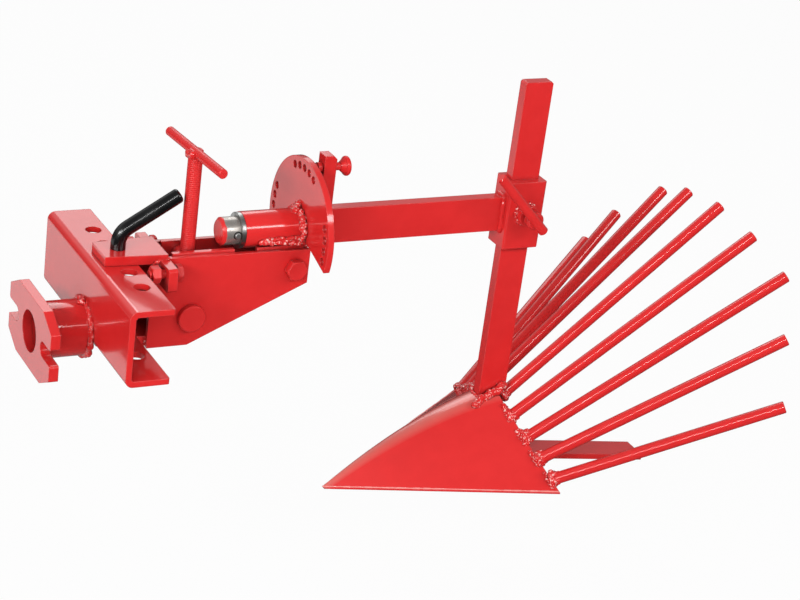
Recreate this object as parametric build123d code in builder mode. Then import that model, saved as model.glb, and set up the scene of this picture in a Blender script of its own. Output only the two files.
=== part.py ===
from build123d import *

import math
import os

# Walk-behind potato digger, in millimetres.
# +X runs rearward from the hitch, +Y to the far side and +Z up.
# The origin is the centre of the hitch bore on the front face of the hitch flange.

os.makedirs("parts", exist_ok=True)

# Fits shared by all pieces
running_clearance = 0.1   # radial, between a pin or shaft and its bore
slide_clearance = 0.2     # each side of a bar that slides in a sleeve
seat_gap = 0.3            # between flat faces that pass each other
hex_face_share = 0.95     # face circle of a bolt head or nut, per unit of its width
hex_bevel = 60.0          # degrees, of the bevel to the bolt axis

# Hitch flange and hub
flange_thickness = 12.0
flange_width = 156.0
flange_height = 93.5
flange_side_height = 60.0
flange_top_width = 92.0
flange_corner_radius = 3.0
stud_slot_width = 20.0
stud_slot_reach = 42.0    # from the hub axis to the closed end of a slot
bore_dia = 52.0
hub_dia = 69.0
hub_length = 55.0

# Cross channel, bent from plate and open to the rear
channel_wall = 7.5
channel_depth = 55.0
channel_height = 96.5
channel_length = 301.5
channel_bend_radius = 10.0
channel_corner_cut = 1.5
hub_axis_height = 9.0     # hub axis above the channel's lower face
pin_row_setback = 37.0    # pin holes behind the channel's front face
pin_hole_dia = 20.0
pin_hole_pitch = 43.0
pin_hole_count = 5

# Hitch pin with its bent handle
pin_dia = 17.0
pin_tip_reach = 14.0      # below the lower tongue
pin_tip_chamfer = 3.0
handle_neck = 7.0         # straight length above the upper tongue
handle_bend_radius = 22.5
handle_bend_angle = 58.5
handle_end_length = 72.5
grip_foot = 0.5           # bare pin between the upper tongue and the grip
grip_dia = 18.4
grip_end_round = 4.0
grip_end_wall = 2.0

# Tongues and side plates of the swinging box
tongue_thickness = 12.0
tongue_nose = 24.0        # ahead of the pin
tongue_front_width = 46.0
tongue_length = 78.0
box_width = 57.0
box_plate = 6.0
box_front_gap = 17.5      # behind the channel
box_length = 206.5
box_top_step = 7.0        # side plates above the tongue's seat
box_bottom_lip = 2.0      # side plates below the lower tongue
box_floor_length = 52.5
box_rear_height = 45.0
box_top_fall = 2.0        # the top edge drops this much towards the rear

# Stops that limit the swing
stop_offset = 44.0        # bolt axis to the centre plane
stop_drop = 5.0           # bolt axis below the channel's upper face
stop_bolt_dia = 12.0
stop_head_across_flats = 19.0
stop_head_height = 7.0
stop_nut_height = 10.5
stop_swing = 6.0          # degrees of swing to either side
stop_touch_gap = 0.4
stop_nut_offset = 3.0     # lock nut behind the bolt tip
stop_lug_thickness = 12.0
stop_lug_height = 30.0
stop_lug_drop = 4.2       # centre of the lug below the bolt axis
stop_lug_width = 31.0
stop_lug_setback = 8.5    # lug behind the front edge of the side plates
stop_head_gap = 3.0       # between the lug and the bolt head

# Pitch screw with its swivel block and its travelling nut
screw_setback = 89.5      # screw axis behind the hitch pin
screw_dia = 18.0
screw_journal_dia = 12.0
screw_collar_dia = 22.0
screw_collar_height = 6.0
trunnion_height = 37.5    # trunnion axis above the side plates' lower edge
trunnion_dia = 16.0
trunnion_engagement = 10.0
trunnion_head_dia = 35.0
trunnion_head_height = 8.0
trunnion_head_round = 2.0
swivel_block_size = 34.0
screw_nut_rise = 63.0     # travelling nut above the trunnion axis
screw_nut_dia = 30.0
screw_nut_stub_dia = 16.0
screw_nut_float = 2.2     # radial room of a nut stub in its bracket plate
tee_bar_dia = 12.0
tee_bar_length = 147.0
tee_bar_height = 204.0    # bar axis above the trunnion axis
tee_bar_angle = 4.5       # degrees, how the bar was left standing
screw_top_rise = 4.0      # screw's end above the bar axis
screw_top_cut = 1.5

# Tilting bracket with the roll tube
bracket_plate = 6.0
bracket_front_gap = 8.0   # behind the upper tongue
bracket_rise = 2.5        # above the side plates
bracket_front_height = 40.0
bracket_rear_height = 56.0
bracket_notch_depth = 8.5 # clears the shaft's washer
bracket_notch_reach = 16.0    # behind the tube's front end
pivot_setback = 19.0      # pivot bolt ahead of the side plates' rear edge
pivot_drop = 26.5         # pivot bolt below the side plates' upper edge
pivot_dia = 16.0
pivot_head_across_flats = 24.0
pivot_head_height = 10.0
pivot_nut_height = 13.0
pivot_washer_dia = 30.0
pivot_washer_thickness = 3.0
pivot_bush_dia = 25.0
roll_axis_rise = 18.0     # roll axis above the side plates' upper edge
tube_dia = 46.0
tube_length = 78.5
tube_overhang = 7.0       # tube's rear end ahead of the side plates' rear edge
disc_radius = 88.0
disc_thickness = 8.0
disc_hole_radius = 76.8
disc_hole_dia = 10.0
disc_hole_step = 10.5
disc_side_angle = 70.5    # first hole of each side group
disc_side_count = 4
disc_vee_drop = 3.5       # vee's apex below the roll axis
disc_vee_slope = 0.29     # fall of the disc's lower edge, per unit of width

# Roll shaft, beam and index plunger
shaft_dia = 35.0
shaft_front_reach = 28.5  # ahead of the tube
shaft_chamfer = 3.0
shaft_washer_dia = 45.0
shaft_washer_thickness = 5.0
roll_pin_dia = 8.0
roll_pin_length = 40.0
beam_height = 46.5
beam_width = 15.0
beam_length = 279.0
lug_gap = 14.5            # between the index disc and the plunger lug
lug_length = 16.5
lug_width = 18.0
lug_top_reach = 17.4      # above the plunger axis
lug_corner_cut = 4.5
plunger_dia = 10.0
plunger_tip_dia = 9.4
plunger_tip_taper = 1.0
plunger_collar_dia = 13.0
plunger_collar_length = 6.0
knob_dia = 25.0
knob_length = 6.2
knob_round = 2.8
knob_neck_dia = 11.0
knob_neck_length = 5.7
knob_flare = 40.0         # degrees, of the neck towards the knob
plunger_throw = 8.0
plunger_draw_gap = 0.6    # tip to the disc when drawn

# Clamp socket with its screw
socket_length = 53.0
socket_width = 40.0
socket_height = 92.0
socket_low_share = 45.3   # below the beam axis
socket_edge_cut = 2.0
clamp_boss_dia = 28.0
clamp_boss_height = 12.0
clamp_screw_dia = 12.0
clamp_screw_rise = 4.0    # above the beam axis
clamp_bar_dia = 13.0
clamp_bar_length = 111.0
clamp_bar_offset = 35.0   # the bar stands this far off the screw axis
clamp_bar_angle = 46.5
clamp_bar_gap = 11.0      # between the boss and the bar
clamp_head_dia = 24.0     # the bar is welded across it
clamp_head_length = 10.0
clamp_head_cut = 2.0

# Shank, share, tines and heel
shank_width = 40.0
shank_thickness = 15.0
shank_top_reach = 132.3   # above the socket
shank_top_cut = 2.5
share_point_forward = 236.5   # ahead of the shank axis
share_point_depth = 382.5     # below the beam axis
share_wing_back = 38.5        # wing tip behind the shank axis
share_wing_depth = 343.5
share_half_width = 152.0
share_thickness = 6.0
share_lip = 2.0               # height of the blunt cutting edge
share_ridge_end_back = 2.0
share_ridge_end_depth = 260.0
share_ridge_rise = 14.67       # arch of the ridge above its straight line, at mid-length
share_ridge_radius = 42.0     # of the ridge's crease at the wing tips, fading to the point
share_inner_radius = 1.0
share_nose_lead = 4.0         # first section behind the point
share_hollow_lead = 34.0      # the hollow under the share starts here
share_rear_allowance = 12.0   # sections run past the rear edge, which is cut after
share_sections = 5
tine_dia = 16.0
tine_end_chamfer = 1.0
tine_root_spread = (0.0, 40.0, 73.0, 102.0, 132.0)
tine_root_drop = (28.8, 3.0, 0.7, 2.0, 1.0)             # below the share's upper face
tine_tip_spread = (0.0, 80.0, 153.0, 215.5, 263.5)
tine_tip_back = (325.0, 327.5, 336.5, 307.0, 287.0)     # behind the shank axis
tine_tip_depth = (14.5, 25.5, 53.5, 114.0, 187.0)       # below the beam axis
outer_tine_excess = 16.0      # the far outer tine is longer than the near one
heel_width = 40.0
heel_thickness = 8.0
heel_front_forward = 30.0     # ahead of the shank axis
heel_rear_back = 258.0        # behind the shank axis
heel_rear_depth = 384.5       # upper face below the beam axis
heel_slope = 7.9              # degrees, down towards the rear
heel_web_thickness = 10.0
heel_web_length = 36.0

# Places that follow from the sizes
channel_front = flange_thickness + hub_length
channel_rear = channel_front + channel_depth
channel_low = -hub_axis_height
channel_top = channel_low + channel_height
pin_x = channel_front + pin_row_setback
upper_tongue_low = channel_top + seat_gap
upper_tongue_top = upper_tongue_low + tongue_thickness
lower_tongue_top = channel_low - seat_gap
lower_tongue_low = lower_tongue_top - tongue_thickness
tongue_front = pin_x - tongue_nose
tongue_rear = tongue_front + tongue_length
box_front = channel_rear + box_front_gap
box_rear = box_front + box_length
box_top = upper_tongue_low + box_top_step
box_low = lower_tongue_low - box_bottom_lip
box_outer = box_width / 2
box_inner = box_outer - box_plate
screw_x = pin_x + screw_setback
trunnion_z = box_low + trunnion_height
screw_nut_z = trunnion_z + screw_nut_rise
bracket_outer = box_inner - seat_gap
bracket_inner = bracket_outer - bracket_plate
bracket_front = tongue_rear + bracket_front_gap
bracket_top = box_top + bracket_rise
pivot_x = box_rear - pivot_setback
pivot_z = box_top - pivot_drop
roll_z = box_top + roll_axis_rise
tube_rear = box_rear - tube_overhang
tube_front = tube_rear - tube_length
disc_front = tube_rear
disc_rear = disc_front + disc_thickness
shaft_front = tube_front - shaft_front_reach
washer_front = tube_front - seat_gap - shaft_washer_thickness
roll_pin_x = washer_front - seat_gap - roll_pin_dia / 2
beam_front = disc_rear + seat_gap
beam_rear = beam_front + beam_length
plunger_z = roll_z + disc_hole_radius
lug_front = disc_rear + lug_gap
lug_rear = lug_front + lug_length
socket_front = beam_rear
shank_x = socket_front + socket_length / 2
socket_low = roll_z - socket_low_share
socket_top = socket_low + socket_height
shank_top = socket_top + shank_top_reach
clamp_z = roll_z + clamp_screw_rise
share_point_x = shank_x - share_point_forward
wing_x = shank_x + share_wing_back
ridge_end_x = shank_x + share_ridge_end_back
bore_radius = bore_dia / 2


def save(piece, name):
    piece.part.label = name
    export_step(piece.part, f"parts/{name}.step")


def along_x(x):
    return Plane.YZ.offset(x)


def along_near(y):
    # Sketches here read X and Z, and grow towards the near side
    return Plane.XZ.offset(-y)


# Hitch flange: a plate with two open stud slots
with BuildPart() as hitch_flange:
    with BuildSketch(along_x(0)):
        with BuildLine():
            side = flange_width / 2
            top = flange_height / 2
            Polyline(
                (side, -flange_side_height / 2),
                (side, flange_side_height / 2),
                (flange_top_width / 2, top),
                (-flange_top_width / 2, top),
                (-side, flange_side_height / 2),
                (-side, -flange_side_height / 2),
                (-flange_top_width / 2, -top),
                (flange_top_width / 2, -top),
                close=True,
            )
        make_face()
        Circle(bore_radius, mode=Mode.SUBTRACT)
        for sign in (-1, 1):
            slot_centre = sign * (stud_slot_reach + stud_slot_width / 2)
            with Locations((slot_centre, 0)):
                Circle(stud_slot_width / 2, mode=Mode.SUBTRACT)
            with Locations((slot_centre + sign * flange_width / 4, 0)):
                Rectangle(flange_width / 2, stud_slot_width, mode=Mode.SUBTRACT)
    extrude(amount=flange_thickness)
    outer_corners = hitch_flange.edges().filter_by(Axis.X).filter_by(GeomType.LINE)
    fillet(outer_corners, flange_corner_radius)
save(hitch_flange, "hitch_flange")

# Hub tube between the flange and the channel's web
with BuildPart() as hub_tube:
    with BuildSketch(along_x(flange_thickness)):
        Circle(hub_dia / 2)
        Circle(bore_radius, mode=Mode.SUBTRACT)
    extrude(amount=hub_length)
save(hub_tube, "hub_tube")

# Cross channel with a row of pin holes through both flanges
with BuildPart() as cross_channel:
    with BuildSketch(along_near(channel_length / 2)) as channel_profile:
        with Locations((channel_front + channel_depth / 2, channel_low + channel_height / 2)):
            Rectangle(channel_depth, channel_height)
        fillet(channel_profile.vertices().group_by(Axis.X)[0], channel_bend_radius)
        with BuildLine():
            Polyline(
                (channel_rear, channel_low + channel_wall),
                (channel_front + channel_bend_radius, channel_low + channel_wall),
                (channel_front + channel_wall, channel_low + channel_bend_radius),
                (channel_front + channel_wall, channel_top - channel_bend_radius),
                (channel_front + channel_bend_radius, channel_top - channel_wall),
                (channel_rear, channel_top - channel_wall),
                close=True,
            )
        make_face(mode=Mode.SUBTRACT)
    extrude(amount=channel_length)
    rear_corners = cross_channel.edges().filter_by(Axis.Z).group_by(Axis.X)[-1]
    chamfer(rear_corners, channel_corner_cut)
    with BuildSketch(Plane.XY.offset(channel_low)):
        with Locations((pin_x, 0)):
            with GridLocations(1, pin_hole_pitch, 1, pin_hole_count):
                Circle(pin_hole_dia / 2)
    extrude(amount=channel_height, mode=Mode.SUBTRACT)
save(cross_channel, "cross_channel")

# Hitch pin: a round bar bent over into a handle
handle_start = upper_tongue_top + handle_neck
handle_fall = math.radians(90 - handle_bend_angle)
with BuildPart() as hitch_pin:
    with BuildLine(Plane.XZ) as pin_path:
        Line((pin_x, lower_tongue_low - pin_tip_reach), (pin_x, handle_start))
        bend_centre = (pin_x + handle_bend_radius, handle_start)
        CenterArc(bend_centre, handle_bend_radius, 180, -handle_bend_angle)
        bend_end = (
            bend_centre[0] - handle_bend_radius * math.cos(math.radians(handle_bend_angle)),
            bend_centre[1] + handle_bend_radius * math.sin(math.radians(handle_bend_angle)),
        )
        handle_end = (
            bend_end[0] + handle_end_length * math.cos(handle_fall),
            bend_end[1] + handle_end_length * math.sin(handle_fall),
        )
        Line(bend_end, handle_end)
    with BuildSketch(Plane((pin_x, 0, lower_tongue_low - pin_tip_reach))):
        Circle(pin_dia / 2)
    sweep()
    chamfer(hitch_pin.edges().filter_by(GeomType.CIRCLE).group_by(Axis.Z)[0], pin_tip_chamfer)
save(hitch_pin, "hitch_pin")

# Vinyl grip over the bent handle, closed at its end
with BuildPart() as pin_grip:
    with BuildLine(Plane.XZ):
        Line((pin_x, upper_tongue_top + grip_foot), (pin_x, handle_start))
        CenterArc(bend_centre, handle_bend_radius, 180, -handle_bend_angle)
        grip_end = (
            handle_end[0] + grip_end_wall * math.cos(handle_fall),
            handle_end[1] + grip_end_wall * math.sin(handle_fall),
        )
        Line(bend_end, grip_end)
    with BuildSketch(Plane((pin_x, 0, upper_tongue_top + grip_foot))):
        Circle(grip_dia / 2)
    sweep()
    fillet(pin_grip.edges().filter_by(GeomType.CIRCLE).group_by(Axis.X)[-1], grip_end_round)
    add(hitch_pin.part, mode=Mode.SUBTRACT)
save(pin_grip, "pin_grip")

# Upper tongue: it widens from the pin to the side plates
with BuildPart() as upper_tongue:
    with BuildSketch(Plane.XY.offset(upper_tongue_low)):
        with BuildLine():
            Polyline(
                (tongue_front, -tongue_front_width / 2),
                (tongue_rear, -box_outer),
                (tongue_rear, box_outer),
                (tongue_front, tongue_front_width / 2),
                close=True,
            )
        make_face()
        with Locations((pin_x, 0)):
            Circle(pin_dia / 2 + running_clearance, mode=Mode.SUBTRACT)
    extrude(amount=tongue_thickness)
save(upper_tongue, "upper_tongue")

# Lower tongue: welded between the side plates, under the channel
with BuildPart() as lower_tongue:
    with BuildSketch(Plane.XY.offset(lower_tongue_low)):
        with Locations(((tongue_front + tongue_rear) / 2, 0)):
            Rectangle(tongue_length, 2 * box_inner)
        with Locations((pin_x, 0)):
            Circle(pin_dia / 2 + running_clearance, mode=Mode.SUBTRACT)
    extrude(amount=tongue_thickness)
    nose_corners = lower_tongue.edges().filter_by(Axis.Z).group_by(Axis.X)[0]
    chamfer(nose_corners, tongue_nose / 3)
save(lower_tongue, "lower_tongue")

# Side plates of the box, notched under the upper tongue
box_rear_top = box_top - box_top_fall
for name, outer_y in (("side_plate_near", -box_inner), ("side_plate_far", box_outer)):
    with BuildPart() as side_plate:
        with BuildSketch(along_near(outer_y)):
            with BuildLine():
                Polyline(
                    (box_front, box_low),
                    (box_front + box_floor_length, box_low),
                    (box_rear, box_rear_top - box_rear_height),
                    (box_rear, box_rear_top),
                    (tongue_rear, box_top),
                    (tongue_rear, upper_tongue_low),
                    (box_front, upper_tongue_low),
                    close=True,
                )
            make_face()
            with Locations((screw_x, trunnion_z)):
                Circle(trunnion_dia / 2 + running_clearance, mode=Mode.SUBTRACT)
            with Locations((pivot_x, pivot_z)):
                Circle(pivot_dia / 2, mode=Mode.SUBTRACT)
        extrude(amount=box_plate)
    save(side_plate, name)

# Stop lugs, stop bolts and lock nuts, one set on each side
stop_z = channel_top - stop_drop
stop_lug_front = box_front + stop_lug_setback
stop_lug_rear = stop_lug_front + stop_lug_thickness
swing = math.radians(stop_swing)
stop_outer_edge = stop_offset + stop_bolt_dia / 2
stop_reach = channel_rear - pin_x + stop_touch_gap + stop_outer_edge * math.sin(swing)
stop_tip = pin_x + stop_reach / math.cos(swing)
stop_head_front = stop_lug_rear + stop_head_gap
stop_nut_front = stop_tip + stop_nut_offset
stop_places = [(-stop_offset, stop_z), (stop_offset, stop_z)]
stop_face = hex_face_share * stop_head_across_flats / 2
for side_name, sign in (("near", -1), ("far", 1)):
    with BuildPart() as stop_lug:
        with BuildSketch(along_x(stop_lug_front)):
            with Locations((sign * (box_outer + stop_lug_width / 2), stop_z - stop_lug_drop)):
                Rectangle(stop_lug_width, stop_lug_height)
            with Locations((sign * stop_offset, stop_z)):
                Circle(stop_bolt_dia / 2, mode=Mode.SUBTRACT)
        extrude(amount=stop_lug_thickness)
        lug_edges = stop_lug.edges().filter_by(Axis.X).filter_by(GeomType.LINE).sort_by(Axis.Y)
        chamfer(lug_edges[:2] if sign < 0 else lug_edges[-2:], stop_lug_thickness / 4)
    save(stop_lug, f"stop_lug_{side_name}")
with BuildPart() as stop_bolts:
    with BuildSketch(along_x(stop_head_front)):
        with Locations(*stop_places):
            RegularPolygon(stop_head_across_flats / 2, 6, major_radius=False)
    extrude(amount=stop_head_height)
    with BuildSketch(along_x(stop_head_front + stop_head_height)):
        with Locations(*stop_places):
            Circle(stop_face)
    extrude(amount=-stop_head_height, taper=-hex_bevel, mode=Mode.INTERSECT)
    with BuildSketch(along_x(stop_tip)):
        with Locations(*stop_places):
            Circle(stop_bolt_dia / 2)
    extrude(amount=stop_head_front - stop_tip)
    tip_edges = stop_bolts.edges().filter_by(GeomType.CIRCLE).group_by(Axis.X)[0]
    chamfer(tip_edges, stop_bolt_dia / 12)
save(stop_bolts, "stop_bolts")
with BuildPart() as stop_nuts:
    with BuildSketch(along_x(stop_nut_front)):
        with Locations(*stop_places):
            RegularPolygon(stop_head_across_flats / 2, 6, major_radius=False)
            Circle(stop_bolt_dia / 2, mode=Mode.SUBTRACT)
    extrude(amount=stop_nut_height)
    with BuildSketch(along_x(stop_nut_front)):
        with Locations(*stop_places):
            Circle(stop_face)
    extrude(amount=stop_nut_height, taper=-hex_bevel, mode=Mode.INTERSECT)
save(stop_nuts, "stop_nuts")

# Swivel block that holds the foot of the pitch screw
block_width = 2 * (box_inner - seat_gap)
with BuildPart() as swivel_block:
    with Locations((screw_x, 0, trunnion_z)):
        Box(swivel_block_size, block_width, swivel_block_size)
    chamfer(swivel_block.edges().filter_by(Axis.Y), swivel_block_size / 8)
    with BuildSketch(along_near(block_width / 2)):
        with Locations((screw_x, trunnion_z)):
            Circle(trunnion_dia / 2)
    extrude(amount=trunnion_engagement, mode=Mode.SUBTRACT)
    with BuildSketch(along_near(-block_width / 2)):
        with Locations((screw_x, trunnion_z)):
            Circle(trunnion_dia / 2)
    extrude(amount=-trunnion_engagement, mode=Mode.SUBTRACT)
    with BuildSketch(Plane.XY.offset(trunnion_z - swivel_block_size / 2)):
        with Locations((screw_x, 0)):
            Circle(screw_journal_dia / 2 + running_clearance)
    extrude(amount=swivel_block_size, mode=Mode.SUBTRACT)
save(swivel_block, "swivel_block")

# Round-head trunnion pins through the side plates into the block
trunnion_inner = block_width / 2 - trunnion_engagement
with BuildPart() as trunnion_pins:
    for sign in (-1, 1):
        with BuildSketch(along_near(sign * trunnion_inner)):
            with Locations((screw_x, trunnion_z)):
                Circle(trunnion_dia / 2)
        extrude(amount=-sign * (box_outer - trunnion_inner))
        with BuildSketch(along_near(sign * box_outer)):
            with Locations((screw_x, trunnion_z)):
                Circle(trunnion_head_dia / 2)
        extrude(amount=-sign * trunnion_head_height)
    rims = trunnion_pins.edges().filter_by(GeomType.CIRCLE).group_by(Axis.Y)
    fillet(rims[0] + rims[-1], trunnion_head_round)
save(trunnion_pins, "trunnion_pins")

# Pitch screw: a journal through the block, then the thread up to the tee bar
block_top = trunnion_z + swivel_block_size / 2
block_low = trunnion_z - swivel_block_size / 2
tee_z = trunnion_z + tee_bar_height
screw_collar_low = block_low - seat_gap - screw_collar_height
tee_plane = Plane(
    origin=(screw_x, 0, tee_z),
    x_dir=(0, 0, 1),
    z_dir=(math.sin(math.radians(tee_bar_angle)), -math.cos(math.radians(tee_bar_angle)), 0),
)
with BuildPart() as tee_bar:
    with BuildSketch(tee_plane):
        Circle(tee_bar_dia / 2)
    extrude(amount=tee_bar_length / 2, both=True)
    chamfer(tee_bar.edges().filter_by(GeomType.CIRCLE), tee_bar_dia / 10)
save(tee_bar, "tee_bar")
with BuildPart() as pitch_screw:
    with BuildSketch(Plane.XY.offset(screw_collar_low)):
        with Locations((screw_x, 0)):
            Circle(screw_journal_dia / 2)
    extrude(amount=block_top + seat_gap - screw_collar_low)
    with BuildSketch(Plane.XY.offset(block_top + seat_gap)):
        with Locations((screw_x, 0)):
            Circle(screw_dia / 2)
    extrude(amount=tee_z + screw_top_rise - block_top - seat_gap)
    chamfer(pitch_screw.edges().filter_by(GeomType.CIRCLE).group_by(Axis.Z)[-1], screw_top_cut)
    add(tee_bar.part, mode=Mode.SUBTRACT)
save(pitch_screw, "pitch_screw")
with BuildPart() as screw_collar:
    with BuildSketch(Plane.XY.offset(screw_collar_low)):
        with Locations((screw_x, 0)):
            Circle(screw_collar_dia / 2)
            Circle(screw_journal_dia / 2, mode=Mode.SUBTRACT)
    extrude(amount=screw_collar_height)
save(screw_collar, "screw_collar")

# Travelling nut: a cross bar whose stubs sit in the bracket plates
nut_half = bracket_inner - seat_gap
with BuildPart() as screw_nut:
    with BuildSketch(along_near(nut_half)):
        with Locations((screw_x, screw_nut_z)):
            Circle(screw_nut_dia / 2)
    extrude(amount=2 * nut_half)
    with BuildSketch(along_near(bracket_outer)):
        with Locations((screw_x, screw_nut_z)):
            Circle(screw_nut_stub_dia / 2)
    extrude(amount=2 * bracket_outer)
    with BuildSketch(Plane.XY.offset(screw_nut_z - screw_nut_dia)):
        with Locations((screw_x, 0)):
            Circle(screw_dia / 2 + running_clearance)
    extrude(amount=2 * screw_nut_dia, mode=Mode.SUBTRACT)
save(screw_nut, "screw_nut")

# Roll tube and the bracket plates that carry it
with BuildPart() as roll_tube:
    with BuildSketch(along_x(tube_front)):
        with Locations((0, roll_z)):
            Circle(tube_dia / 2)
            Circle(shaft_dia / 2 + running_clearance, mode=Mode.SUBTRACT)
    extrude(amount=tube_length)
save(roll_tube, "roll_tube")
bracket_rear = tube_rear
for name, outer_y in (("bracket_plate_near", -bracket_inner), ("bracket_plate_far", bracket_outer)):
    with BuildPart() as bracket_side:
        with BuildSketch(along_near(outer_y)):
            with BuildLine():
                Polyline(
                    (bracket_front, bracket_top - bracket_front_height),
                    (screw_x + screw_nut_dia, bracket_top - bracket_rear_height),
                    (pivot_x, pivot_z - pivot_bush_dia / 2),
                    (bracket_rear, pivot_z - pivot_bush_dia / 2),
                    (bracket_rear, bracket_top),
                    (bracket_front, bracket_top),
                    close=True,
                )
            make_face()
            with Locations((screw_x, screw_nut_z)):
                Circle(screw_nut_stub_dia / 2 + screw_nut_float, mode=Mode.SUBTRACT)
            with Locations((pivot_x, pivot_z)):
                Circle(pivot_dia / 2 + running_clearance, mode=Mode.SUBTRACT)
        extrude(amount=bracket_plate)
        with BuildSketch(along_x(tube_front)):
            with Locations((0, roll_z)):
                Circle(tube_dia / 2)
        extrude(amount=tube_length, mode=Mode.SUBTRACT)
        notch_front = washer_front - bracket_notch_depth
        notch_length = tube_front + bracket_notch_reach - notch_front
        with Locations((notch_front + notch_length / 2, 0, bracket_top)):
            Box(notch_length, box_width, 2 * bracket_notch_depth, mode=Mode.SUBTRACT)
    save(bracket_side, name)

# Pivot bush between the bracket plates
with BuildPart() as pivot_bush:
    with BuildSketch(along_near(bracket_inner)):
        with Locations((pivot_x, pivot_z)):
            Circle(pivot_bush_dia / 2)
            Circle(pivot_dia / 2 + running_clearance, mode=Mode.SUBTRACT)
    extrude(amount=2 * bracket_inner)
save(pivot_bush, "pivot_bush")

# Pivot bolt with its washer and nut on the far side
pivot_stack = pivot_washer_thickness + pivot_nut_height
pivot_face = hex_face_share * pivot_head_across_flats / 2
with BuildPart() as pivot_bolt:
    with BuildSketch(along_near(-box_outer)):
        with Locations((pivot_x, pivot_z)):
            RegularPolygon(pivot_head_across_flats / 2, 6, major_radius=False)
    extrude(amount=pivot_head_height)
    with BuildSketch(along_near(-box_outer - pivot_head_height)):
        with Locations((pivot_x, pivot_z)):
            Circle(pivot_face)
    extrude(amount=-pivot_head_height, taper=-hex_bevel, mode=Mode.INTERSECT)
    with BuildSketch(along_near(-box_outer)):
        with Locations((pivot_x, pivot_z)):
            Circle(pivot_dia / 2)
    extrude(amount=-(box_width + pivot_stack + pivot_washer_thickness))
save(pivot_bolt, "pivot_bolt")
with BuildPart() as pivot_washer:
    with BuildSketch(along_near(box_outer)):
        with Locations((pivot_x, pivot_z)):
            Circle(pivot_washer_dia / 2)
            Circle(pivot_dia / 2, mode=Mode.SUBTRACT)
    extrude(amount=-pivot_washer_thickness)
save(pivot_washer, "pivot_washer")
with BuildPart() as pivot_nut:
    with BuildSketch(along_near(box_outer + pivot_washer_thickness)):
        with Locations((pivot_x, pivot_z)):
            RegularPolygon(pivot_head_across_flats / 2, 6, major_radius=False)
            Circle(pivot_dia / 2, mode=Mode.SUBTRACT)
    extrude(amount=-pivot_nut_height)
    with BuildSketch(along_near(box_outer + pivot_stack)):
        with Locations((pivot_x, pivot_z)):
            Circle(pivot_face)
    extrude(amount=pivot_nut_height, taper=-hex_bevel, mode=Mode.INTERSECT)
save(pivot_nut, "pivot_nut")

# Index disc: a sector with its lower edge cut to a shallow vee
disc_holes = [step * disc_hole_step for step in (-2, -1, 0, 1, 2)]
for sign in (-1, 1):
    disc_holes += [sign * (disc_side_angle + step * disc_hole_step) for step in range(disc_side_count)]
with BuildPart() as index_disc:
    with BuildSketch(along_x(disc_front)):
        with Locations((0, roll_z)):
            Circle(disc_radius)
        with BuildLine():
            reach = 1.5 * disc_radius
            apex = roll_z - disc_vee_drop
            Polyline(
                (0, apex),
                (reach, apex - disc_vee_slope * reach),
                (reach, roll_z - reach),
                (-reach, roll_z - reach),
                (-reach, apex - disc_vee_slope * reach),
                close=True,
            )
        make_face(mode=Mode.SUBTRACT)
        with Locations((0, roll_z)):
            Circle(tube_dia / 2)
            Circle(shaft_dia / 2 + running_clearance, mode=Mode.SUBTRACT)
        for angle in disc_holes:
            hole_y = -disc_hole_radius * math.sin(math.radians(angle))
            hole_z = roll_z + disc_hole_radius * math.cos(math.radians(angle))
            with Locations((hole_y, hole_z)):
                Circle(disc_hole_dia / 2, mode=Mode.SUBTRACT)
    extrude(amount=disc_thickness)
save(index_disc, "index_disc")

# Roll shaft with its washer and roll pin
with BuildPart() as roll_shaft:
    with BuildSketch(along_x(shaft_front)):
        with Locations((0, roll_z)):
            Circle(shaft_dia / 2)
    extrude(amount=beam_front - shaft_front)
    chamfer(roll_shaft.edges().filter_by(GeomType.CIRCLE).group_by(Axis.X)[0], shaft_chamfer)
    with BuildSketch(along_near(shaft_dia)):
        with Locations((roll_pin_x, roll_z)):
            Circle(roll_pin_dia / 2)
    extrude(amount=2 * shaft_dia, mode=Mode.SUBTRACT)
save(roll_shaft, "roll_shaft")
with BuildPart() as shaft_washer:
    with BuildSketch(along_x(washer_front)):
        with Locations((0, roll_z)):
            Circle(shaft_washer_dia / 2)
            Circle(shaft_dia / 2 + running_clearance, mode=Mode.SUBTRACT)
    extrude(amount=shaft_washer_thickness)
save(shaft_washer, "shaft_washer")
with BuildPart() as roll_pin:
    with BuildSketch(along_near(roll_pin_length / 2)):
        with Locations((roll_pin_x, roll_z)):
            Circle(roll_pin_dia / 2)
    extrude(amount=roll_pin_length)
    chamfer(roll_pin.edges().filter_by(GeomType.CIRCLE), roll_pin_dia / 10)
save(roll_pin, "roll_pin")

# Beam: a flat bar on edge, welded to the shaft's rear end
with BuildPart() as beam:
    with BuildSketch(along_x(beam_front)):
        with Locations((0, roll_z)):
            Rectangle(beam_width, beam_height)
    extrude(amount=beam_length)
save(beam, "beam")

# Plunger lug on top of the beam
beam_top = roll_z + beam_height / 2
lug_top = plunger_z + lug_top_reach
with BuildPart() as plunger_lug:
    with BuildSketch(along_near(lug_width / 2)):
        with BuildLine():
            Polyline(
                (lug_front, beam_top),
                (lug_rear, beam_top),
                (lug_rear, lug_top - lug_corner_cut),
                (lug_rear - lug_corner_cut, lug_top),
                (lug_front, lug_top),
                close=True,
            )
        make_face()
    extrude(amount=lug_width)
    with BuildSketch(along_x(lug_front)):
        with Locations((0, plunger_z)):
            Circle(plunger_dia / 2 + running_clearance)
    extrude(amount=lug_length, mode=Mode.SUBTRACT)
save(plunger_lug, "plunger_lug")

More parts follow.
